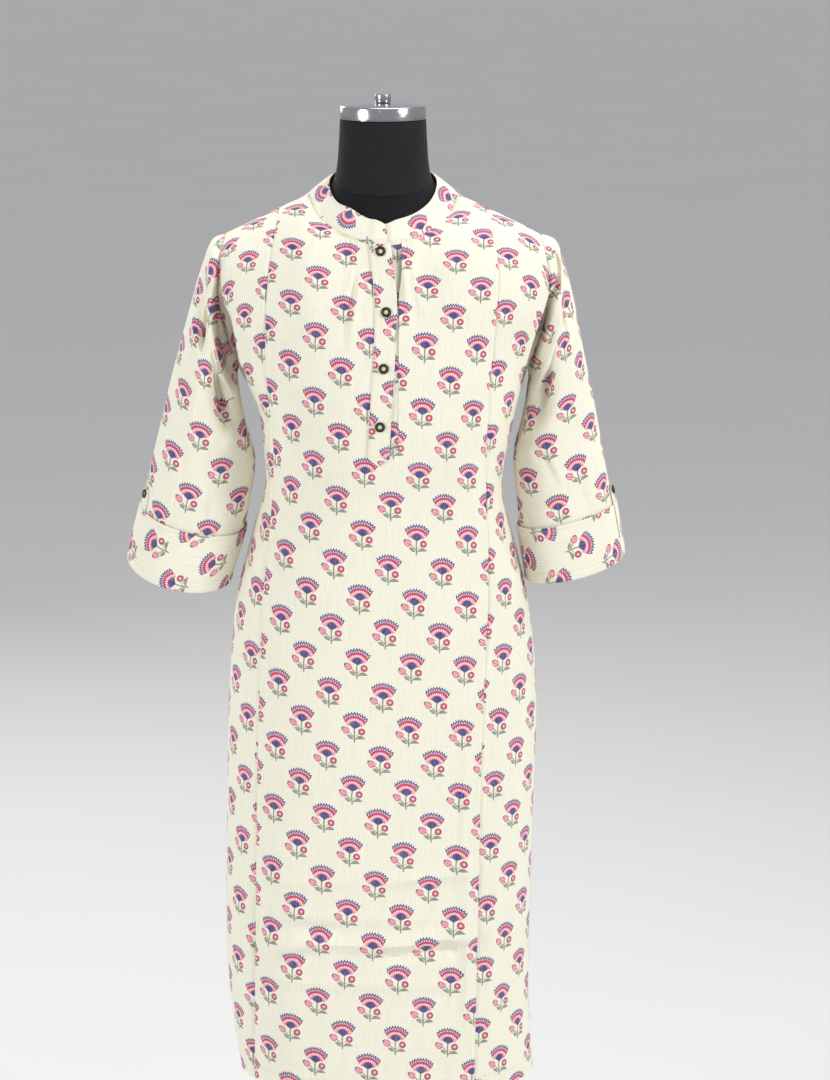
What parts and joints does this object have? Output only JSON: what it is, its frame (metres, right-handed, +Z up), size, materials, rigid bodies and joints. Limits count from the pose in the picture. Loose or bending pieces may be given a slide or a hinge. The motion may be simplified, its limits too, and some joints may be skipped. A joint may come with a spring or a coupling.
{
  "type": "kurta tunic on a dress form",
  "caption": "Long straight kurta tunic with a band collar, buttoned placket, cuffed three-quarter sleeves and side slits, worn by a limbless dress form on a round stand.",
  "frame": {"origin": "centre of the base plate's underside, on the floor", "axes": "+Z up, the garment's front faces -Y, and +X is towards the wearer's left arm, which is on the right as seen from the front"},
  "size_m": [0.5999, 0.35, 1.5198],
  "materials": {
    "printed_cotton": "matt woven cotton with a printed flower repeat",
    "bronze_and_pearl": "dark antique metal rim round a pearly centre",
    "form_cloth": "matt charcoal knit cover",
    "chrome": "polished",
    "base_enamel": "satin black"
  },
  "bodies": {
    "root": {"front_centre": "printed_cotton", "front_side_left": "printed_cotton", "front_side_right": "printed_cotton", "back": "printed_cotton", "collar": "printed_cotton", "placket_over": "printed_cotton", "placket_under": "printed_cotton", "placket_button_1": "bronze_and_pearl", "placket_button_2": "bronze_and_pearl", "placket_button_3": "bronze_and_pearl", "placket_button_4": "bronze_and_pearl", "sleeve_left": "printed_cotton", "sleeve_right": "printed_cotton", "cuff_left": "printed_cotton", "cuff_right": "printed_cotton", "tab_left": "printed_cotton", "tab_right": "printed_cotton", "tab_button_left": "bronze_and_pearl", "tab_button_right": "bronze_and_pearl", "form_torso": "form_cloth", "neck_cap": "chrome", "cap_knob": "chrome", "pole": "chrome", "base_plate": "base_enamel"}
  },
  "joints": []
}
